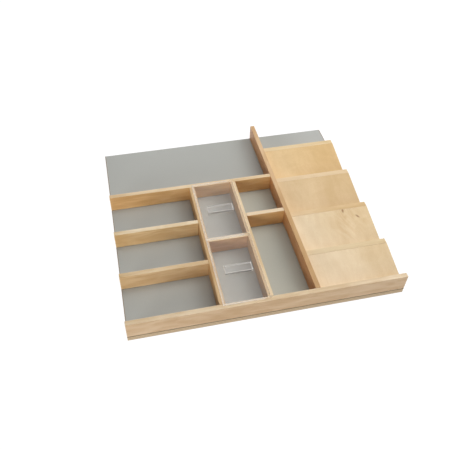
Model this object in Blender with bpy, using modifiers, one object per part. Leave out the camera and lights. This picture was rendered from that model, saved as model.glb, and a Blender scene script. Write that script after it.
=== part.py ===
"""Drawer organizer insert: a wooden tray with rails, sloped tiers and two lift-off clear lids.

Metres, +Z up, +Y towards the back of the drawer. The origin is the middle of the underside.
"""
import math

import bmesh
import bpy
from mathutils import Matrix, Vector

# Driving dimensions
WIDTH = 0.560                 # left to right, X
DEPTH = 0.530                 # front to back, Y
GAP = 0.0003                  # clearance between touching pieces

BASE_BOARD_THICKNESS = 0.0110
LAMINATE_THICKNESS = 0.0008
RAIL_TOP = 0.0513             # top of every rail above the underside
RAIL_THICKNESS = 0.010
LID_RAIL_THICKNESS = 0.0115   # the two rails that carry the lids
COMPARTMENT_PITCH = 0.1125    # spacing of the cross rails and of the tiers

LEFT_BAY_WIDTH = 0.179        # the three long compartments
LID_BAY_WIDTH = 0.0835        # the two compartments under the lids
CELL_BAY_WIDTH = 0.085        # the two open cells

LID_THICKNESS = 0.0042
LID_SIDE_OVERLAP = 0.0056     # lid resting on each lid rail
LID_END_OVERLAP = 0.0042      # lid resting on the front rail and on the cross rail
LID_SEAM = 0.0010             # space between the two lids
REBATE_DEPTH = 0.0022
REBATE_CLEARANCE = 0.0004     # around each lid in its rebate
PULL_LENGTH = 0.056           # the clear bar on each lid, by which it is lifted
PULL_DEPTH = 0.020
PULL_THICKNESS = 0.006
PULL_FORWARD = 0.0055         # from the lid's middle towards the front

TIER_COUNT = 4
TIER_BACK = 0.4515            # back face of the rearmost riser, from the front face
TIER_TOP = 0.0400             # top of each riser above the underside
RISER_THICKNESS = 0.013
PANEL_THICKNESS = 0.006
WEDGE_THICKNESS = 0.012
WEDGE_NOSE = 0.0015           # height of a wedge's blunt front end

ARRIS = 0.0007                # softened edges of rails and risers
FINE_ARRIS = 0.0004           # softened edges of panels, base and lids
ARRIS_ANGLE = math.radians(40)   # edges sharper than this are softened

WELD = 0.00001                # points closer than this are one point
FLAT_ANGLE = math.radians(1)  # faces that meet flatter than this are one face
SPARE = 0.010                 # how far a cutter runs past what it cuts
SLOPE_STEPS = 20              # rounds of solving for a panel's slope

SCREW_RADIUS = 0.00175
SCREW_HEAD_RADIUS = 0.0034
SCREW_LENGTH = 0.022
SCREW_TIP = 0.003
SCREW_SUNK = 0.0006           # head below the underside
SCREW_SIDES = 12
RECESS_SPAN = 0.0042          # the cross recess in a screw's head
RECESS_WIDTH = 0.0010
RECESS_DEPTH = 0.0012

# Places worked out from them, in the model's own frame
LEFT = -WIDTH / 2
RIGHT = WIDTH / 2
FRONT = -DEPTH / 2
BACK = DEPTH / 2
LAMINATE_BOTTOM = BASE_BOARD_THICKNESS + GAP
LAMINATE_TOP = LAMINATE_BOTTOM + LAMINATE_THICKNESS
DECK = LAMINATE_TOP + GAP     # underside of everything that stands on the base

LID_RAIL_LEFT = LEFT + LEFT_BAY_WIDTH
LID_RAIL_RIGHT = LID_RAIL_LEFT + LID_RAIL_THICKNESS + LID_BAY_WIDTH
DIVIDER_LEFT = LID_RAIL_RIGHT + LID_RAIL_THICKNESS + CELL_BAY_WIDTH
DIVIDER_RIGHT = DIVIDER_LEFT + RAIL_THICKNESS

FRONT_RAIL_BACK = FRONT + RAIL_THICKNESS
FRONT_DIVIDER_FRONT = FRONT + COMPARTMENT_PITCH
BACK_DIVIDER_FRONT = FRONT + 2 * COMPARTMENT_PITCH
CROSS_RAIL_FRONT = FRONT + 3 * COMPARTMENT_PITCH
CROSS_RAIL_BACK = CROSS_RAIL_FRONT + RAIL_THICKNESS

LID_LEFT = LID_RAIL_LEFT + LID_RAIL_THICKNESS - LID_SIDE_OVERLAP
LID_RIGHT = LID_RAIL_RIGHT + LID_SIDE_OVERLAP
LIDS_FRONT = FRONT_RAIL_BACK - LID_END_OVERLAP
LIDS_BACK = CROSS_RAIL_FRONT + LID_END_OVERLAP
LID_SPAN = (LIDS_BACK - LIDS_FRONT - LID_SEAM) / 2
LID_PIECE_MIDDLE = (FRONT_RAIL_BACK + CROSS_RAIL_FRONT) / 2
LEDGE = RAIL_TOP - REBATE_DEPTH
LID_BOTTOM = LEDGE + GAP

# Colours as linear RGB, with roughness and metallic
BIRCH = ((0.66, 0.50, 0.32), 0.45, 0.0)
BIRCH_PANEL = ((0.70, 0.53, 0.34), 0.45, 0.0)
PLYWOOD = ((0.58, 0.42, 0.26), 0.60, 0.0)
GREY_LAMINATE = ((0.40, 0.41, 0.39), 0.50, 0.0)
ACRYLIC = ((0.85, 0.86, 0.87), 0.05, 0.0)
ZINC = ((0.60, 0.60, 0.58), 0.35, 1.0)


def clear_scene():
    for obj in list(bpy.data.objects):
        bpy.data.objects.remove(obj, do_unlink=True)


def new_collection(name):
    collection = bpy.data.collections.new(name)
    bpy.context.scene.collection.children.link(collection)
    return collection


def material(name, finish):
    colour, roughness, metallic = finish
    made = bpy.data.materials.new(name)
    made.use_nodes = True
    shader = made.node_tree.nodes["Principled BSDF"]
    shader.inputs["Base Color"].default_value = (*colour, 1.0)
    shader.inputs["Roughness"].default_value = roughness
    shader.inputs["Metallic"].default_value = metallic
    return made


def add_object(name, mesh, collection, finish=None):
    obj = bpy.data.objects.new(name, mesh)
    collection.objects.link(obj)
    if finish:
        mesh.materials.append(material(name, finish))
    return obj


def box(name, low, high, collection, finish=None):
    """A box between two corners, with its origin at its middle."""
    low, high = Vector(low), Vector(high)
    size = high - low
    mesh = bpy.data.meshes.new(name)
    shape = bmesh.new()
    bmesh.ops.create_cube(shape, size=1.0)
    bmesh.ops.scale(shape, vec=size, verts=shape.verts)
    shape.to_mesh(mesh)
    shape.free()
    obj = add_object(name, mesh, collection, finish)
    obj.location = (low + high) / 2
    return obj


def cutter(name, low, high):
    obj = box(name, low, high, cutters)
    hide_cutter(obj)
    return obj


def hide_cutter(obj):
    obj.hide_render = True
    obj.display_type = "WIRE"


def soften(obj, width, segments=2):
    bevel = obj.modifiers.new("arris", "BEVEL")
    bevel.width = width
    bevel.segments = segments
    bevel.limit_method = "ANGLE"
    bevel.angle_limit = ARRIS_ANGLE


def cut(obj, tool):
    boolean = obj.modifiers.new("cut_" + tool.name, "BOOLEAN")
    boolean.operation = "DIFFERENCE"
    boolean.object = tool


def side_profile(name, outline, x_low, x_high, finish):
    """A flat outline in the YZ plane, extruded from x_low to x_high."""
    curve = bpy.data.curves.new(name, "CURVE")
    curve.dimensions = "2D"
    curve.fill_mode = "BOTH"
    curve.extrude = (x_high - x_low) / 2
    spline = curve.splines.new("POLY")
    spline.points.add(len(outline) - 1)
    for point, (y, z) in zip(spline.points, outline):
        point.co = (y, z, 0, 1)
    spline.use_cyclic_u = True
    source = add_object(name + "_outline", curve, parts)
    # The curve's X, Y and Z become the model's Y, Z and X.
    turn = Matrix(((0, 0, 1, 0), (1, 0, 0, 0), (0, 1, 0, 0), (0, 0, 0, 1)))
    source.matrix_world = Matrix.Translation(((x_low + x_high) / 2, 0, 0)) @ turn
    bpy.context.view_layer.update()
    evaluated = source.evaluated_get(bpy.context.evaluated_depsgraph_get())
    mesh = bpy.data.meshes.new_from_object(evaluated)
    shape = bmesh.new()
    shape.from_mesh(mesh)
    bmesh.ops.remove_doubles(shape, verts=shape.verts, dist=WELD)
    bmesh.ops.dissolve_limit(shape, angle_limit=FLAT_ANGLE, verts=shape.verts, edges=shape.edges)
    shape.to_mesh(mesh)
    shape.free()
    obj = add_object(name, mesh, parts, finish)
    obj.matrix_world = source.matrix_world
    bpy.data.objects.remove(source, do_unlink=True)
    return obj


def upright(name, x_low, x_high, y_low, y_high, top=RAIL_TOP):
    """A board that stands on the base."""
    board = box(name, (x_low, y_low, DECK), (x_high, y_high, top), parts, BIRCH)
    soften(board, ARRIS)
    return board


def screw_places():
    """Where the screws come up through the base, for each piece that they hold."""
    def along_x(x_low, x_high, y, count):
        # Each screw is in the middle of its share of the length.
        share = (x_high - x_low) / count
        return [(x_low + (i + 0.5) * share, y) for i in range(count)]

    def along_y(x, y_low, y_high, count):
        return [(x, y) for y, _ in along_x(y_low, y_high, 0, count)]

    half = RAIL_THICKNESS / 2
    lid_half = LID_RAIL_THICKNESS / 2
    places = {
        "front_rail": along_x(LEFT, RIGHT, FRONT + half, 3),
        "cross_rail": along_x(LEFT, DIVIDER_LEFT, CROSS_RAIL_FRONT + half, 3),
        "left_divider_back": along_x(LEFT, LID_RAIL_LEFT, BACK_DIVIDER_FRONT + half, 1),
        "left_divider_front": along_x(LEFT, LID_RAIL_LEFT, FRONT_DIVIDER_FRONT + half, 1),
        "lid_rail_left": along_y(LID_RAIL_LEFT + lid_half, FRONT_RAIL_BACK, CROSS_RAIL_FRONT, 2),
        "lid_rail_right": along_y(LID_RAIL_RIGHT + lid_half, FRONT_RAIL_BACK, CROSS_RAIL_FRONT, 2),
        "lid_cross_piece": along_x(LID_LEFT, LID_RIGHT, LID_PIECE_MIDDLE, 1),
        "cell_cross_piece": along_x(LID_RAIL_RIGHT + LID_RAIL_THICKNESS, DIVIDER_LEFT,
                                    BACK_DIVIDER_FRONT + half, 1),
        "long_divider": along_y(DIVIDER_LEFT + half, FRONT_RAIL_BACK, BACK, 3),
    }
    for i in range(TIER_COUNT):
        middle = riser_back(i) - RISER_THICKNESS / 2
        places[f"tier_riser_{i + 1}"] = along_x(DIVIDER_RIGHT, RIGHT, middle, 2)
    return places


def riser_back(index):
    """Back face of a tier's riser; tier 0 is the rearmost."""
    return FRONT + TIER_BACK - index * COMPARTMENT_PITCH


def turned(name, profile, collection):
    """A profile of (radius, height) points, listed from the top down, turned about Z."""
    mesh = bpy.data.meshes.new(name)
    shape = bmesh.new()
    points = [shape.verts.new((radius, 0, height)) for radius, height in profile]
    for first, second in zip(points, points[1:]):
        shape.edges.new((first, second))
    shape.to_mesh(mesh)
    shape.free()
    obj = add_object(name, mesh, collection)
    turn = obj.modifiers.new("turn", "SCREW")
    turn.steps = turn.render_steps = SCREW_SIDES
    turn.use_merge_vertices = True
    turn.merge_threshold = WELD
    return obj


def frozen_mesh(obj):
    """The object's mesh as its modifiers leave it."""
    bpy.context.view_layer.update()
    evaluated = obj.evaluated_get(bpy.context.evaluated_depsgraph_get())
    return bpy.data.meshes.new_from_object(evaluated)


def hole_cutter(name, mesh, places):
    """One cutter that holds a copy of a mesh at each (x, y) place."""
    shape = bmesh.new()
    for x, y in places:
        start = len(shape.verts)
        shape.from_mesh(mesh)
        shape.verts.ensure_lookup_table()
        bmesh.ops.translate(shape, vec=(x, y, 0), verts=shape.verts[start:])
    joined = bpy.data.meshes.new(name)
    shape.to_mesh(joined)
    shape.free()
    obj = add_object(name, joined, cutters)
    hide_cutter(obj)
    return obj


def screw_profile(grow=0.0):
    """A countersunk screw, or with grow the hole that clears it."""
    head_slope = SCREW_HEAD_RADIUS - SCREW_RADIUS
    foot = SCREW_SUNK if grow == 0 else -GAP
    radius = SCREW_RADIUS + grow
    head = SCREW_HEAD_RADIUS + grow
    tip = SCREW_SUNK + SCREW_LENGTH + grow
    head_top = SCREW_SUNK + 2 * grow
    return [(0, tip), (radius, tip - SCREW_TIP), (radius, head_top + head_slope),
            (head, head_top), (head, foot), (0, foot)]


def make_base():
    board = box("base_board", (LEFT, FRONT, 0), (RIGHT, BACK, BASE_BOARD_THICKNESS), parts, PLYWOOD)
    soften(board, FINE_ARRIS, 1)
    box("base_laminate", (LEFT, FRONT, LAMINATE_BOTTOM), (RIGHT, BACK, LAMINATE_TOP),
        parts, GREY_LAMINATE)


def make_rails():
    upright("front_rail", LEFT, RIGHT, FRONT, FRONT_RAIL_BACK)
    upright("cross_rail", LEFT, DIVIDER_LEFT - GAP, CROSS_RAIL_FRONT, CROSS_RAIL_BACK)
    upright("long_divider", DIVIDER_LEFT, DIVIDER_RIGHT, FRONT_RAIL_BACK + GAP, BACK)
    for name, front in (("left_divider_back", BACK_DIVIDER_FRONT),
                        ("left_divider_front", FRONT_DIVIDER_FRONT)):
        upright(name, LEFT, LID_RAIL_LEFT - GAP, front, front + RAIL_THICKNESS)
    for name, left in (("lid_rail_left", LID_RAIL_LEFT), ("lid_rail_right", LID_RAIL_RIGHT)):
        upright(name, left, left + LID_RAIL_THICKNESS, FRONT_RAIL_BACK + GAP, CROSS_RAIL_FRONT - GAP)
    upright("lid_cross_piece", LID_RAIL_LEFT + LID_RAIL_THICKNESS + GAP, LID_RAIL_RIGHT - GAP,
            LID_PIECE_MIDDLE - RAIL_THICKNESS / 2, LID_PIECE_MIDDLE + RAIL_THICKNESS / 2, LEDGE)
    upright("cell_cross_piece", LID_RAIL_RIGHT + LID_RAIL_THICKNESS + GAP, DIVIDER_LEFT - GAP,
            BACK_DIVIDER_FRONT, BACK_DIVIDER_FRONT + RAIL_THICKNESS)


def cut_rebates():
    """One shallow pocket around both lids, cut into the rails that carry them."""
    pocket = cutter("lid_pocket",
                    (LID_LEFT - REBATE_CLEARANCE, LIDS_FRONT - REBATE_CLEARANCE, LEDGE),
                    (LID_RIGHT + REBATE_CLEARANCE, LIDS_BACK + REBATE_CLEARANCE, RAIL_TOP + SPARE))
    for name in ("front_rail", "cross_rail", "lid_rail_left", "lid_rail_right"):
        cut(bpy.data.objects[name], pocket)


def make_lids():
    """Two clear sheets side by side, each with a clear bar stuck on top to lift it by."""
    middle = (LID_LEFT + LID_RIGHT) / 2
    lid_top = LID_BOTTOM + LID_THICKNESS
    for name, front in (("lid_front", LIDS_FRONT), ("lid_back", LIDS_BACK - LID_SPAN)):
        lid = box(name, (LID_LEFT, front, LID_BOTTOM), (LID_RIGHT, front + LID_SPAN, lid_top),
                  parts, ACRYLIC)
        centre = front + LID_SPAN / 2 - PULL_FORWARD
        pull = box(name + "_pull",
                   (middle - PULL_LENGTH / 2, centre - PULL_DEPTH / 2, lid_top + GAP),
                   (middle + PULL_LENGTH / 2, centre + PULL_DEPTH / 2, lid_top + GAP + PULL_THICKNESS),
                   parts, ACRYLIC)
        for piece in (lid, pull):
            soften(piece, FINE_ARRIS)


def make_tiers():
    """Each tier is a riser, a sloped panel in front of it and two wedges under the panel."""
    x_low, x_high = DIVIDER_RIGHT + GAP, RIGHT
    for i in range(TIER_COUNT):
        number = i + 1
        back = riser_back(i)
        upright(f"tier_riser_{number}", x_low, x_high, back - RISER_THICKNESS, back, TIER_TOP)

        high = back - RISER_THICKNESS - GAP
        stop = riser_back(i + 1) if number < TIER_COUNT else FRONT_RAIL_BACK
        low = stop + GAP
        # The panel's foot rests on the base, and its high end is level with the riser's top.
        slope = solve_slope(high - low, TIER_TOP - DECK)
        upright_thickness = PANEL_THICKNESS / math.cos(slope)
        foot = DECK + upright_thickness
        sheet = [(low, DECK), (high, TIER_TOP - upright_thickness), (high, TIER_TOP), (low, foot)]
        panel = side_profile(f"tier_panel_{number}", sheet, x_low, x_high, BIRCH_PANEL)
        soften(panel, FINE_ARRIS)

        rise = math.tan(slope)
        clearance = GAP / math.cos(slope)
        nose = low + (WEDGE_NOSE + clearance) / rise
        wedge_top = DECK + (high - low) * rise - clearance
        outline = [(nose, DECK), (high, DECK), (high, wedge_top), (nose, DECK + WEDGE_NOSE)]
        side_profile(f"tier_wedge_left_{number}", outline, x_low, x_low + WEDGE_THICKNESS, BIRCH)
        side_profile(f"tier_wedge_right_{number}", outline, x_high - WEDGE_THICKNESS, x_high, BIRCH)


def solve_slope(run, height):
    """Angle at which a panel of PANEL_THICKNESS climbs the height over the run, foot to top."""
    slope = math.atan2(height, run)
    for _ in range(SLOPE_STEPS):
        slope = math.atan2(height - PANEL_THICKNESS / math.cos(slope), run)
    return slope


def make_screws():
    """Countersunk screws from below, with clearance holes in the pieces that they join."""
    places = screw_places()

    pattern = turned("screw_pattern", screw_profile(), cutters)
    long_half, short_half = RECESS_SPAN / 2, RECESS_WIDTH / 2
    recess_top = SCREW_SUNK + RECESS_DEPTH
    for name, x, y in (("x", long_half, short_half), ("y", short_half, long_half)):
        recess = cutter("screw_recess_" + name, (-x, -y, -SCREW_SUNK), (x, y, recess_top))
        cut(pattern, recess)
    screw_mesh = frozen_mesh(pattern)
    screw_mesh.name = "base_screw"
    screw_mesh.materials.append(material("base_screw", ZINC))
    bpy.data.objects.remove(pattern, do_unlink=True)
    for piece, piece_places in places.items():
        for i, (x, y) in enumerate(piece_places):
            screw = add_object(f"screw_{piece}_{i + 1}", screw_mesh, parts)
            screw.location = (x, y, 0)

    hole_pattern = turned("hole_pattern", screw_profile(GAP), cutters)
    hole_mesh = frozen_mesh(hole_pattern)
    bpy.data.objects.remove(hole_pattern, do_unlink=True)
    every_place = [place for piece_places in places.values() for place in piece_places]
    all_holes = hole_cutter("screw_holes", hole_mesh, every_place)
    for name in ("base_board", "base_laminate"):
        cut(bpy.data.objects[name], all_holes)
    for name, piece_places in places.items():
        cut(bpy.data.objects[name], hole_cutter(name + "_holes", hole_mesh, piece_places))


clear_scene()
parts = new_collection("drawer_organizer_insert")
cutters = new_collection("cutters")
make_base()
make_rails()
cut_rebates()
make_lids()
make_tiers()
make_screws()
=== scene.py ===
import math

import bpy
from mathutils import Matrix, Vector


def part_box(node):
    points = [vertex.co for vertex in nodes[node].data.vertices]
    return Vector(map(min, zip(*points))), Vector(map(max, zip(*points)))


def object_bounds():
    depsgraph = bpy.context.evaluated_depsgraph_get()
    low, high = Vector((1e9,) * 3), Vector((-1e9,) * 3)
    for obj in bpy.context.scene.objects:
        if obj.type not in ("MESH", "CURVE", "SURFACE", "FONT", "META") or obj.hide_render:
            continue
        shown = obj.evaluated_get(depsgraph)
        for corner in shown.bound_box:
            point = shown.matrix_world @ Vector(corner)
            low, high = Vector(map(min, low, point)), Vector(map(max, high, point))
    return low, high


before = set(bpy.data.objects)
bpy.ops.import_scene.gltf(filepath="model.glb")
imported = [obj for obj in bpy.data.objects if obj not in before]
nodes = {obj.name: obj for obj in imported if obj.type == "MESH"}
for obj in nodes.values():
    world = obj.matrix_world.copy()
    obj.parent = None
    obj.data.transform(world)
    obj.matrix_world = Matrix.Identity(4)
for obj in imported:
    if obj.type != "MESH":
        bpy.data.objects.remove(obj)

cad_low, cad_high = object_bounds()

# Camera: the direction it looks in, and the point on the floor that it looks at.
CAMERA_AZIMUTH = 13.69        # degrees from +Y towards +X
CAMERA_ELEVATION = 47.14      # degrees above the floor
CAMERA_ROLL = 1.61
CAMERA_DISTANCE = 1.2865
CAMERA_LENS = 45.67           # millimetres, on a 36 mm sensor
AIM_OFFSET = Vector((-0.0353, -0.0103, 0.0))   # from the middle of the object's underside

# Lights: name, azimuth from the back (+Y) towards the right (+X), elevation, distance, size, watts.
LIGHTS = (
    ("key", 88, 48, 2.0, 1.6, 26.0),
    ("top", 0, 89, 2.5, 2.0, 19.9),
    ("back_low", 0, 12, 2.5, 1.0, 17.5),
    ("back_high", 0, 48, 2.0, 1.6, 4.7),
    ("front_left_low", 225, 12, 2.5, 1.0, 25.5),
)
FLOOR_SIZE = 8.0
FLOOR_GLOW = 0.90             # light that the floor gives to the object
FLOOR_WHITE = 1.00            # and to the camera

# Colours, linear RGB. A wooden piece has one for its upright faces and one for its top. The faces
# hold painted warm bounce light where they stand in shade, and the tops are lighter partly as
# painted sheen.
RAIL_WOODS = {
    # piece: (grain direction, face, top)
    "front_rail": ("X", (0.751, 0.544, 0.338), (0.874, 0.716, 0.507)),
    "cross_rail": ("X", (0.942, 0.616, 0.294), (0.892, 0.712, 0.475)),
    # painted shade: the long divider's face colour is darker and redder, partly as painted shade
    # with warm bounce light; its right side gets RISER_FACE instead
    "long_divider": ("Y", (0.704, 0.374, 0.165), (0.775, 0.538, 0.312)),
    "left_divider_back": ("X", (0.929, 0.670, 0.363), (0.918, 0.762, 0.536)),
    "left_divider_front": ("X", (0.945, 0.679, 0.391), (0.834, 0.651, 0.416)),
    "lid_rail_left": ("Y", (0.733, 0.465, 0.213), (0.700, 0.490, 0.258)),
    "lid_rail_right": ("Y", (0.608, 0.391, 0.202), (0.920, 0.748, 0.517)),
    "lid_cross_piece": ("X", (0.836, 0.500, 0.260), (0.824, 0.639, 0.392)),
    "cell_cross_piece": ("X", (1.000, 0.626, 0.278), (0.879, 0.706, 0.494)),
}
# Painted shade: the ledge that the lids lie on, painted darker than the rail's top.
LEDGE_SHADES = {"lid_rail_right": (0.600, 0.430, 0.245)}
LEDGE_STEP = (0.0005, 0.0015)      # metres above the ledge, from its colour to the top's
PLAIN_RAILS = ("cell_cross_piece",)
PLAIN_FIGURE = 0.6                 # how strongly the grain shows in these, and in the risers
RAIL_FIGURE = 1.4
PANEL_FIGURE = 0.38
PANEL_CURL = 0.35                  # ripples across the grain

# Where wood turns redder: the axis (0 for X, 1 for Y), and where the change starts and ends.
LEFT_END = (0, -0.245, -0.300)     # the left rails
DIVIDER_FRONT = (1, 0.10, -0.08)   # the long divider's top
SAPWOOD_TO_HEARTWOOD = (0.85, 0.79, 0.66)
HEARTWOOD_WANDER = 0.12            # metres by which the grain's clouds can shift the change

# Tiers from the back: the panel and the span of its width over which it turns redder, then the
# same for the top of the riser behind it. A span that ends past 1 leaves the change unfinished.
TIER_WOODS = (
    ((0.901, 0.663, 0.358), (0.0, 1.1), (0.908, 0.720, 0.450), (0.3, 1.7)),
    ((0.814, 0.607, 0.348), (0.1, 1.0), (0.880, 0.687, 0.449), (0.0, 2.0)),
    ((0.916, 0.743, 0.497), (0.2, 1.0), (0.843, 0.630, 0.375), (0.0, 1.1)),
    ((0.888, 0.715, 0.475), (0.30, 0.92), (0.868, 0.710, 0.470), (0.0, 1.5)),
)
RISER_FACE = (0.72, 0.500, 0.280)

# Knots, and pale slanted streaks beside them. Places are from the panel's back right corner.
KNOTTY_TIER = 3
KNOTS = (
    # place, direction of the long axis, half length, half width
    ((-0.0582, -0.0034, 0.0), (-0.10, -1.0, 0.0), 0.0052, 0.0024),
    ((-0.0295, -0.0222, 0.0), (0.75, -0.85, 0.0), 0.0050, 0.0020),
)
KNOT_CORE = (0.36, 0.17, 0.05)
KNOT_TINT = (0.88, 0.78, 0.62)
STREAK_PLACE = (-0.060, -0.042, 0.0)
STREAK_DIRECTION = (0.53, -0.85, 0.0)
STREAK_REACH = (0.055, 0.015)      # distances where they start to show, and show fully
STREAK_GAP_TINT = (0.91, 0.84, 0.74)

# Rubbed edges of wood, partly real wear and partly a painted highlight along the arrises: radius in
# metres, share of the colour, and how much paler than the top.
EDGE_HIGHLIGHT_RADIUS = 0.0014
EDGE_HIGHLIGHT_SHARE = 0.60
EDGE_HIGHLIGHT_TONE = 1.12
END_GRAIN_TONES = (0.70, 0.88)

PLY_LIGHT = (0.66, 0.490, 0.300)
PLY_DARK = (0.42, 0.270, 0.140)
PLY_THICKNESS = 0.0022             # metres
LAMINATE = (0.440, 0.444, 0.412)
LAMINATE_PAINTED_LIGHT = 0.125         # painted light: share of white mixed in at the right, where the key lamp is nearer
LAMINATE_TRIM = (0.0022, 0.0008)   # metres from the edge where the core starts to show, and where
                                   # it shows as much as the trim lets it
LAMINATE_CORE = (0.22, 0.115, 0.035)
PAINTED_BOUNCE_TINT = (1.075, 1.065, 0.985)             # painted bounce light: warm tint of the laminate in the two open cells, from the wood walls around them
ACRYLIC = (0.980, 0.975, 0.975)
# painted shade: the pull bar's sides are tinted dark
ACRYLIC_BAR_PAINTED_SHADE = (0.42, 0.41, 0.40)
ACRYLIC_EDGE = (1.0, 0.92, 0.81)
ACRYLIC_EDGE_PAINTED_WOOD = (0.95, 0.76, 0.52)        # painted reflection: the rail's wood, which this edge lies against, painted onto it
ACRYLIC_BAR_EDGE = (1.0, 0.99, 0.95)
# painted reflection: share of whitish satin over the clear flats
ACRYLIC_PAINTED_REFLECTION = 0.025
# painted glow: share of whitish satin in the band over the ledge
RIM_PAINTED_GLOW = 0.20
SIDE_SCUFF = 0.97
ZINC = (0.62, 0.62, 0.60)
UP = (0, 0, 1)
FACING = (0.6, 0.8)                # cosines to an axis, from not facing along it to facing along it


class Shader:
    """A material's node tree, with short calls for the nodes that the recipes below use."""

    def __init__(self, name):
        self.material = bpy.data.materials.new(name)
        self.material.use_nodes = True
        self.tree = self.material.node_tree
        self.bsdf = self.tree.nodes["Principled BSDF"]
        self.output = self.tree.nodes["Material Output"]

    def node(self, kind, **settings):
        made = self.tree.nodes.new("ShaderNode" + kind)
        for key, value in settings.items():
            setattr(made, key, value)
        return made

    def feed(self, socket, value):
        if isinstance(value, bpy.types.NodeSocket):
            self.tree.links.new(value, socket)
        elif isinstance(value, tuple) and len(value) == 3 and socket.type == "RGBA":
            socket.default_value = (*value, 1.0)
        else:
            socket.default_value = value

    def math(self, operation, first, second=0.0, third=0.0):
        made = self.node("Math", operation=operation)
        for i, v in enumerate((first, second, third)):
            self.feed(made.inputs[i], v)
        return made.outputs[0]

    def vector_math(self, operation, first, second=(0, 0, 0)):
        made = self.node("VectorMath", operation=operation)
        self.feed(made.inputs[0], first)
        self.feed(made.inputs[1], second)
        single = operation in ("DOT_PRODUCT", "LENGTH")
        return made.outputs["Value" if single else "Vector"]

    def mix(self, factor, first, second, blend="MIX"):
        made = self.node("Mix", data_type="RGBA", blend_type=blend)
        self.feed(made.inputs[0], factor)
        self.feed(made.inputs[6], first)
        self.feed(made.inputs[7], second)
        return made.outputs[2]

    def mix_shader(self, factor, first, second):
        made = self.node("MixShader")
        for i, v in enumerate((factor, first, second)):
            self.feed(made.inputs[i], v)
        return made.outputs[0]

    def span(self, value, from_low, from_high, to_low=0.0, to_high=1.0):
        """The value mapped smoothly from one range to another, and held at its ends."""
        made = self.node("MapRange", interpolation_type="SMOOTHSTEP")
        for i, v in enumerate((value, from_low, from_high, to_low, to_high)):
            self.feed(made.inputs[i], v)
        return made.outputs[0]

    def point(self):
        """The point on the piece, in metres."""
        return self.node("TexCoord").outputs["Object"]

    def place(self, offset):
        """The point moved by an offset, so that no two pieces share a pattern."""
        return self.vector_math("ADD", self.point(), offset)

    def split(self, vector):
        made = self.node("SeparateXYZ")
        self.feed(made.inputs[0], vector)
        return made.outputs

    def along(self, away, direction, length=1.0, width=1.0):
        """A vector's part along a direction and its part across it, in lengths and widths."""
        ahead = Vector(direction).normalized()
        aside = Vector((-ahead.y, ahead.x, 0.0))
        made = self.node("CombineXYZ")
        self.feed(made.inputs[0], self.vector_math("DOT_PRODUCT", away, tuple(ahead / length)))
        self.feed(made.inputs[1], self.vector_math("DOT_PRODUCT", away, tuple(aside / width)))
        return made.outputs[0]

    def noise(self, place, stretch, detail=2.0, distortion=0.0):
        made = self.node("TexNoise")
        self.feed(made.inputs["Vector"], self.vector_math("MULTIPLY", place, stretch))
        made.inputs["Scale"].default_value = 1.0
        made.inputs["Detail"].default_value = detail
        made.inputs["Distortion"].default_value = distortion
        return made.outputs["Fac"]

    def bump(self, height, distance, strength):
        made = self.node("Bump")
        made.inputs["Strength"].default_value = strength
        made.inputs["Distance"].default_value = distance
        self.feed(made.inputs["Height"], height)
        self.feed(self.bsdf.inputs["Normal"], made.outputs["Normal"])

    def facing(self, axis):
        """1 on faces that look along the axis, 0 on faces that lie along it."""
        normal = self.node("TexCoord").outputs["Normal"]
        share = self.math("ABSOLUTE", self.vector_math("DOT_PRODUCT", normal, axis))
        return self.span(share, *FACING)

    def edges(self, radius):
        """1 close to the piece's edges, 0 on its flats."""
        rounded = self.node("Bevel", samples=4)
        rounded.inputs["Radius"].default_value = radius
        true_normal = self.node("NewGeometry").outputs["Normal"]
        match = self.vector_math("DOT_PRODUCT", rounded.outputs["Normal"], true_normal)
        return self.span(match, 0.995, 0.85)


def tone(colour, factor):
    return tuple(min(1.0, c * factor) for c in colour)


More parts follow.
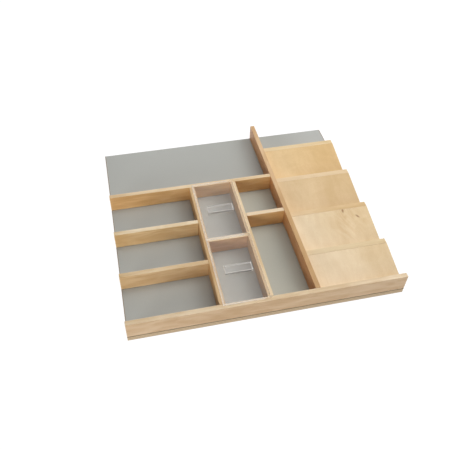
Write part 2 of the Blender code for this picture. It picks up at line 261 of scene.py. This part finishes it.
def wood(name, seed, grain, face, top, figure=1.0, curl=0.0, right=None, ledge=None,
         top_heartwood=None, heartwood=None, knots=(), streaks=None):
    """Lacquered birch.

    grain is "X" or "Y", the way the fibres run. face and top are the colours of the upright faces
    and of the top; the faces hold painted warm bounce light where they stand in shade, and the top
    is lighter partly as painted sheen. figure and curl are how strongly the grain and the ripples
    across it show. right is the colour of the right side, where it differs from faces that hold
    painted shade.
    ledge is the height of a ledge below the top and the painted shade colour given to it. heartwood
    is the axis and the span over which the piece turns redder, and top_heartwood is the same for its
    top alone. knots are like KNOTS, and streaks is a place, but both in the object's frame.
    """
    s = Shader(name)
    place = s.place((0.37 * seed, 0.23 * seed + 0.1, 0.31 * seed))
    axis = (1, 0, 0) if grain == "X" else (0, 1, 0)

    def stretch(along, across):
        return (along, across, across) if grain == "X" else (across, along, across)

    # Rings, which bend around the knots. The distance from a knot is counted in its half lengths.
    growth = s.noise(place, stretch(2.2, 15.0), detail=2.0, distortion=0.4)
    core = near = None
    for centre, direction, length, width in knots:
        away = s.vector_math("SUBTRACT", s.point(), centre)
        distance = s.vector_math("LENGTH", s.along(away, direction, length, width))
        growth = s.math("ADD", growth, s.span(distance, 18.0, 0.0, 0.0, 0.11))
        dark, around = s.span(distance, 1.6, 0.2), s.span(distance, 7.0, 1.0)
        core = dark if core is None else s.math("MAXIMUM", core, dark)
        near = around if near is None else s.math("MAXIMUM", near, around)
    rings = s.math("MULTIPLY_ADD", s.math("SINE", s.math("MULTIPLY", growth, 80.0)), 0.5, 0.5)

    broad = s.noise(place, stretch(3.0, 22.0), detail=2.0, distortion=0.6)
    cloud = s.noise(place, stretch(18.0, 70.0), detail=2.0, distortion=0.5)
    ripple = s.noise(place, stretch(38.0, 16.0), detail=1.0, distortion=1.2)
    fibre = s.noise(place, stretch(60.0, 1100.0), detail=3.0)
    fleck = s.span(s.noise(place, stretch(170.0, 1900.0), detail=1.0), 0.66, 0.76)

    def redden(colour, axis_index, start, end):
        wander = s.math("MULTIPLY", s.math("SUBTRACT", broad, 0.5), HEARTWOOD_WANDER)
        share = s.span(s.math("ADD", s.split(s.point())[axis_index], wander), start, end)
        return s.mix(share, colour, SAPWOOD_TO_HEARTWOOD, "MULTIPLY")

    # The plain colours of the piece's faces.
    side = face
    # the right side gets its own colour, free of the painted shade in the face colour
    if right:
        outward = s.vector_math("DOT_PRODUCT", s.node("TexCoord").outputs["Normal"], (1, 0, 0))
        side = s.mix(s.span(outward, *FACING), face, right)
    flat, rubbed_and_highlight = top, tone(top, EDGE_HIGHLIGHT_TONE)
    # painted shade: the ledge is darker than the top above it
    if ledge:
        ledge_height, ledge_shade = ledge
        step = (ledge_height + rise for rise in LEDGE_STEP)
        above = s.span(s.split(s.point())[2], *step)
        flat = s.mix(above, ledge_shade, flat)
        rubbed_and_highlight = s.mix(above, tone(ledge_shade, EDGE_HIGHLIGHT_TONE), rubbed_and_highlight)
    if top_heartwood:
        flat = redden(flat, *top_heartwood)
    colour = s.mix(s.facing(UP), side, flat)
    if heartwood:
        colour = redden(colour, *heartwood)

    for pattern, low, high, strength, tint in (
            (rings, 0.15, 0.95, 0.35 * figure, (0.90, 0.84, 0.76)),
            (broad, 0.38, 0.66, 0.60 * figure, (0.91, 0.86, 0.78)),
            (cloud, 0.35, 0.65, 0.75 * figure, (0.90, 0.85, 0.77)),
            (ripple, 0.35, 0.70, curl, (0.93, 0.90, 0.84)),
            (fibre, 0.30, 0.70, 0.45, (0.91, 0.87, 0.81)),
            (fleck, 0.0, 1.0, 0.30, (0.74, 0.62, 0.48))):
        if strength:
            colour = s.mix(s.span(pattern, low, high, 0.0, strength), colour, tint, "MULTIPLY")
    if streaks:
        away = s.vector_math("SUBTRACT", s.point(), streaks)
        slanted = s.noise(s.along(away, STREAK_DIRECTION), (16.0, 95.0, 1.0), distortion=0.5)
        close = s.span(s.vector_math("LENGTH", away), *STREAK_REACH, 0.0, 0.70)
        gaps = s.math("MULTIPLY", s.span(slanted, 0.62, 0.42), close)
        colour = s.mix(gaps, colour, STREAK_GAP_TINT, "MULTIPLY")
    if knots:
        swirl = s.math("MULTIPLY", near, s.span(rings, 0.0, 1.0, 0.0, 0.55))
        colour = s.mix(swirl, colour, KNOT_TINT, "MULTIPLY")
        colour = s.mix(core, colour, KNOT_CORE)

    cut = s.noise(place, tuple(500.0 if a == 0 else 60.0 for a in axis), detail=3.0)
    darker, paler = (tone(face, factor) for factor in END_GRAIN_TONES)
    colour = s.mix(s.facing(axis), colour, s.mix(s.span(cut, 0.35, 0.65), darker, paler))
    # painted highlight, partly wear: the edges and arrises are lightened towards a paler copy of the
    # top
    wear_and_highlight = s.math("MULTIPLY", s.edges(EDGE_HIGHLIGHT_RADIUS), EDGE_HIGHLIGHT_SHARE)
    s.feed(s.bsdf.inputs["Base Color"], s.mix(wear_and_highlight, colour, rubbed_and_highlight))
    s.feed(s.bsdf.inputs["Roughness"], s.span(fibre, 0.25, 0.75, 0.42, 0.54))
    s.bsdf.inputs["Coat Weight"].default_value = 0.15
    s.bsdf.inputs["Coat Roughness"].default_value = 0.35
    s.bump(s.math("ADD", fibre, s.math("MULTIPLY", rings, 0.4)), 0.00012, 0.35)
    return s.material


def plywood(name):
    """The base board: a plain veneer underneath, and the plies' edges around it."""
    s = Shader(name)
    place = s.place((0.2, 0.3, 0.0))
    height = s.split(s.point())[2]
    waver = s.math("MULTIPLY", s.noise(place, (40.0, 40.0, 5.0), detail=2.0), 0.5)
    ply = s.math("PINGPONG", s.math("MULTIPLY_ADD", height, 1.0 / PLY_THICKNESS, waver), 1.0)
    grain_x = s.noise(place, (60.0, 1200.0, 1200.0), detail=3.0)
    speckle = s.noise(place, (900.0, 900.0, 300.0), detail=2.0)
    edge = s.mix(s.span(ply, 0.35, 0.65), PLY_LIGHT, tone(PLY_LIGHT, 0.80))
    edge = s.mix(s.span(speckle, 0.45, 0.75, 0.0, 0.4), edge, PLY_DARK)
    sheet = s.mix(s.span(grain_x, 0.3, 0.7, 0.0, 0.5), PLY_LIGHT, tone(PLY_LIGHT, 0.82))
    broad = s.noise(place, (2.0, 15.0, 15.0), detail=3.0, distortion=0.8)
    sheet = s.mix(s.span(broad, 0.35, 0.7, 0.0, 0.5), sheet, tone(PLY_LIGHT, 0.72))
    s.feed(s.bsdf.inputs["Base Color"], s.mix(s.facing(UP), edge, sheet))
    s.feed(s.bsdf.inputs["Roughness"], s.span(grain_x, 0.2, 0.8, 0.55, 0.70))
    s.bump(s.math("ADD", grain_x, speckle), 0.00015, 0.4)
    return s.material


def laminate(name, half_width):
    """Grey laminate with faint clouds, and its brown core along the cut edges. It is trimmed at an
    angle along its left and right edges. It is whiter towards the right as painted light from the
    key lamp, and tinted warmer in the two open cells as painted bounce light off the wood walls."""
    s = Shader(name)
    place = s.place((0.0, 0.0, 0.0))
    speckle = s.noise(place, (700.0, 700.0, 700.0), detail=2.0)
    cloud = s.noise(place, (7.0, 7.0, 7.0), detail=3.0)
    colour = s.mix(s.span(speckle, 0.3, 0.7, 0.0, 0.5), LAMINATE, tone(LAMINATE, 0.93))
    colour = s.mix(s.span(cloud, 0.3, 0.7, 0.0, 0.5), colour, tone(LAMINATE, 0.96))

    x, y, _ = s.split(s.point())
    # painted light: the laminate turns whiter towards the right, nearer the key lamp
    painted_light_right = s.span(x, 0.5 * half_width, 0.9 * half_width, 0.0, LAMINATE_PAINTED_LIGHT)
    colour = s.mix(painted_light_right, colour, (1.0, 1.0, 1.0))

    # painted bounce light: a warm tint on the laminate between lid_rail_right, the long divider and
    # the cross rail
    left, right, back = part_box("lid_rail_right"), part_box("long_divider"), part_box("cross_rail")
    painted_bounce = s.math("MULTIPLY", s.span(x, left[0].x, left[1].x), s.span(x, right[1].x, right[0].x))
    painted_bounce = s.math("MULTIPLY", painted_bounce, s.span(y, back[1].y, back[0].y))
    colour = s.mix(painted_bounce, colour, PAINTED_BOUNCE_TINT, "MULTIPLY")

    trim = (half_width - inset for inset in LAMINATE_TRIM)
    trimmed = s.span(s.math("ABSOLUTE", x), *trim, 0.0, 0.75)
    bare = s.math("MAXIMUM", s.math("SUBTRACT", 1.0, s.facing(UP)), trimmed)
    s.feed(s.bsdf.inputs["Base Color"], s.mix(bare, colour, LAMINATE_CORE))
    smooth = s.span(cloud, 0.3, 0.7, 0.42, 0.50)
    s.feed(s.bsdf.inputs["Roughness"], s.math("MAXIMUM", smooth, s.math("MULTIPLY", bare, 0.9)))
    s.bump(speckle, 0.00006, 0.3)
    return s.material


def acrylic(name, sides, side_roughness, edge_width, wear_and_highlight, rim=None):
    """Clear cast acrylic with a faint whitish veil of painted reflection, satin sides and scraped,
    whitish edges. Lamps shine straight through it.

    rim is for the lids alone: the sheet's size, and the width along X and Y of the band along its
    border, over the ledge under it, that gets a painted whitish glow.
    """
    s = Shader(name)
    smear = s.noise(s.place((0.5, 0.5, 0.0)), (30.0, 55.0, 30.0), detail=4.0, distortion=1.5)
    side = s.math("SUBTRACT", 1.0, s.facing(UP))
    # the sides' tint; for the pull bar it is painted shade
    s.feed(s.bsdf.inputs["Base Color"], s.mix(side, ACRYLIC, sides))
    polish = s.span(smear, 0.45, 0.75, 0.01, 0.04)
    sawn = s.math("MULTIPLY", side, side_roughness)
    s.feed(s.bsdf.inputs["Roughness"], s.math("MAXIMUM", polish, sawn))
    s.bsdf.inputs["IOR"].default_value = 1.49
    s.bsdf.inputs["Transmission Weight"].default_value = 1.0

    scraped = s.span(s.edges(edge_width), 0.05, 0.35)
    # painted reflection: a faint whitish veil over the whole piece
    painted_reflection = s.span(smear, 0.2, 0.8, 0.5 * ACRYLIC_PAINTED_REFLECTION, ACRYLIC_PAINTED_REFLECTION)
    scuff_and_painted_light = s.math("MAXIMUM", scraped, painted_reflection)
    if rim:
        scuff_and_painted_light = s.math("MAXIMUM", scuff_and_painted_light, s.math("MULTIPLY", side, SIDE_SCUFF))
        # painted glow: a whitish band along the sheet's border, over the ledge
        shares = s.split(s.node("TexCoord").outputs["Generated"])
        for share, size, width in zip(shares, *rim):
            from_middle = s.math("ABSOLUTE", s.math("SUBTRACT", share, 0.5))
            start, end = 0.5 - 0.95 * width / size, 0.5 - 0.55 * width / size
            scuff_and_painted_light = s.math("MAXIMUM", scuff_and_painted_light, s.span(from_middle, start, end, 0.0, RIM_PAINTED_GLOW))
        # painted reflection: the right part of the sheet's edges and band takes the colour of the
        # wood beside it
        wear_and_highlight = s.mix(s.span(shares[0], 0.85, 0.90), wear_and_highlight, ACRYLIC_EDGE_PAINTED_WOOD)
    satin = s.node("BsdfPrincipled")
    s.feed(satin.inputs["Base Color"], wear_and_highlight)
    s.feed(satin.inputs["Roughness"], s.span(smear, 0.3, 0.7, 0.45, 0.60))
    clear = s.node("BsdfTransparent")
    clear.inputs["Color"].default_value = (0.99, 0.99, 0.99, 1.0)
    path = s.node("LightPath")
    shown = s.mix_shader(scuff_and_painted_light, s.bsdf.outputs[0], satin.outputs[0])
    for ray in ("Is Shadow Ray", "Is Diffuse Ray"):
        shown = s.mix_shader(path.outputs[ray], shown, clear.outputs[0])
    s.feed(s.output.inputs["Surface"], shown)
    return s.material


def zinc(name):
    """Zinc plated steel with a mottled passivated finish."""
    s = Shader(name)
    mottle = s.noise(s.place((0.0, 0.0, 0.0)), (900.0, 900.0, 900.0), detail=3.0)
    s.feed(s.bsdf.inputs["Base Color"], s.mix(s.span(mottle, 0.3, 0.7), ZINC, tone(ZINC, 0.82)))
    s.bsdf.inputs["Metallic"].default_value = 1.0
    s.feed(s.bsdf.inputs["Roughness"], s.span(mottle, 0.3, 0.7, 0.28, 0.42))
    s.bump(mottle, 0.00003, 0.3)
    return s.material


def dress(name, material):
    """Gives a CAD node its material."""
    slots = nodes[name].data.materials
    slots.clear()
    slots.append(material)


def dress_rails():
    ledge_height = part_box("lid_front")[0].z
    for seed, (name, (grain, face, top)) in enumerate(RAIL_WOODS.items(), 1):
        divider = name == "long_divider"
        dress(name, wood(
            "wood_" + name, seed, grain, face, top,
            figure=PLAIN_FIGURE if name in PLAIN_RAILS else RAIL_FIGURE,
            right=RISER_FACE if divider else None,
            ledge=(ledge_height, LEDGE_SHADES[name]) if name in LEDGE_SHADES else None,
            top_heartwood=DIVIDER_FRONT if divider else None,
            heartwood=LEFT_END if name.startswith("left_") else None))


def dress_tiers():
    for i, (sheet, sheet_span, riser_top, riser_span) in enumerate(TIER_WOODS, 1):
        seed = 20 + 3 * i
        panel, riser = f"tier_panel_{i}", f"tier_riser_{i}"
        low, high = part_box(panel)
        sheet_heartwood, riser_heartwood = (
            (0, *(low.x + share * (high.x - low.x) for share in span))
            for span in (sheet_span, riser_span))
        knots, streaks = (), None
        if i == KNOTTY_TIER:
            corner = Vector(high)
            knots = tuple((tuple(corner + Vector(offset)), *shape) for offset, *shape in KNOTS)
            streaks = tuple(corner + Vector(STREAK_PLACE))
        dress(panel, wood("wood_" + panel, seed, "Y", sheet, sheet, PANEL_FIGURE, PANEL_CURL,
                          heartwood=sheet_heartwood, knots=knots, streaks=streaks))
        dress(riser, wood("wood_" + riser, seed + 1, "X", RISER_FACE, riser_top, PLAIN_FIGURE,
                          heartwood=riser_heartwood))
        wedge_wood = wood(f"wood_tier_wedge_{i}", seed + 2, "Y", RISER_FACE, RISER_FACE)
        for side in ("left", "right"):
            dress(f"tier_wedge_{side}_{i}", wedge_wood)


def dress_rest():
    dress("base_board", plywood("birch_plywood"))
    dress("base_laminate", laminate("grey_laminate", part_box("base_laminate")[1].x))
    low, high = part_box("lid_front")
    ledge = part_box("lid_rail_left")[1].x - low.x
    end_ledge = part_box("front_rail")[1].y - low.y
    sheet = acrylic("acrylic_sheet", ACRYLIC, side_roughness=0.10, edge_width=0.0022,
                    wear_and_highlight=ACRYLIC_EDGE, rim=(high - low, (ledge, end_ledge)))
    bar = acrylic("acrylic_bar", ACRYLIC_BAR_PAINTED_SHADE, side_roughness=0.30, edge_width=0.0024,
                  wear_and_highlight=ACRYLIC_BAR_EDGE)
    for lid in ("lid_front", "lid_back"):
        dress(lid, sheet)
        dress(lid + "_pull", bar)
    plated = zinc("zinc_plate")
    for name in nodes:
        if name.startswith("screw_"):
            dress(name, plated)


def make_floor():
    """A floor that glows upwards, and that a view from below sees through."""
    mesh = bpy.data.meshes.new("floor")
    half = FLOOR_SIZE / 2
    corners = [(-half, -half, 0), (half, -half, 0), (half, half, 0), (-half, half, 0)]
    mesh.from_pydata(corners, [], [(0, 1, 2, 3)])
    floor = bpy.data.objects.new("floor", mesh)
    floor.location.z = cad_low.z - 0.0002
    bpy.context.scene.collection.objects.link(floor)
    s = Shader("studio_white")
    s.bsdf.inputs["Base Color"].default_value = (0.07, 0.07, 0.07, 1.0)
    s.bsdf.inputs["Roughness"].default_value = 1.0
    s.bsdf.inputs["Specular IOR Level"].default_value = 0.0
    s.bsdf.inputs["Emission Color"].default_value = (1.0, 1.0, 1.0, 1.0)
    seen = s.node("LightPath").outputs["Is Camera Ray"]
    s.feed(s.bsdf.inputs["Emission Strength"], s.span(seen, 0.0, 1.0, FLOOR_GLOW, FLOOR_WHITE))
    below = s.node("NewGeometry").outputs["Backfacing"]
    clear = s.node("BsdfTransparent").outputs[0]
    s.feed(s.output.inputs["Surface"], s.mix_shader(below, s.bsdf.outputs[0], clear))
    mesh.materials.append(s.material)


def towards(azimuth, elevation):
    a, e = math.radians(azimuth), math.radians(elevation)
    return Vector((math.sin(a) * math.cos(e), math.cos(a) * math.cos(e), math.sin(e)))


def make_lights():
    for name, azimuth, elevation, distance, size, watts in LIGHTS:
        lamp = bpy.data.lights.new(name, "AREA")
        lamp.shape = "DISK"
        lamp.size = size
        lamp.energy = watts
        obj = bpy.data.objects.new(name, lamp)
        direction = towards(azimuth, elevation)
        obj.location = direction * distance
        obj.rotation_euler = (-direction).to_track_quat("-Z", "Y").to_euler()
        bpy.context.scene.collection.objects.link(obj)
    world = bpy.data.worlds.new("studio")
    world.use_nodes = True
    backdrop = world.node_tree.nodes["Background"]
    backdrop.inputs["Color"].default_value = (1.0, 1.0, 1.0, 1.0)
    seen = world.node_tree.nodes.new("ShaderNodeLightPath").outputs["Is Camera Ray"]
    world.node_tree.links.new(seen, backdrop.inputs["Strength"])
    bpy.context.scene.world = world


def make_camera():
    camera = bpy.data.objects.new("camera", bpy.data.cameras.new("camera"))
    camera.data.lens = CAMERA_LENS
    camera.data.sensor_width = 36.0
    camera.data.clip_start = 0.01
    forward = -towards(CAMERA_AZIMUTH + 180, CAMERA_ELEVATION)
    middle = (cad_low + cad_high) / 2
    aim = Vector((middle.x, middle.y, cad_low.z)) + AIM_OFFSET
    roll = Matrix.Rotation(math.radians(CAMERA_ROLL), 3, "Z")
    turn = forward.to_track_quat("-Z", "Y").to_matrix() @ roll
    camera.matrix_world = Matrix.Translation(aim - forward * CAMERA_DISTANCE) @ turn.to_4x4()
    bpy.context.scene.collection.objects.link(camera)
    bpy.context.scene.camera = camera
    bpy.context.scene.view_settings.view_transform = "Standard"


make_floor()
make_lights()
make_camera()
dress_rails()
dress_tiers()
dress_rest()
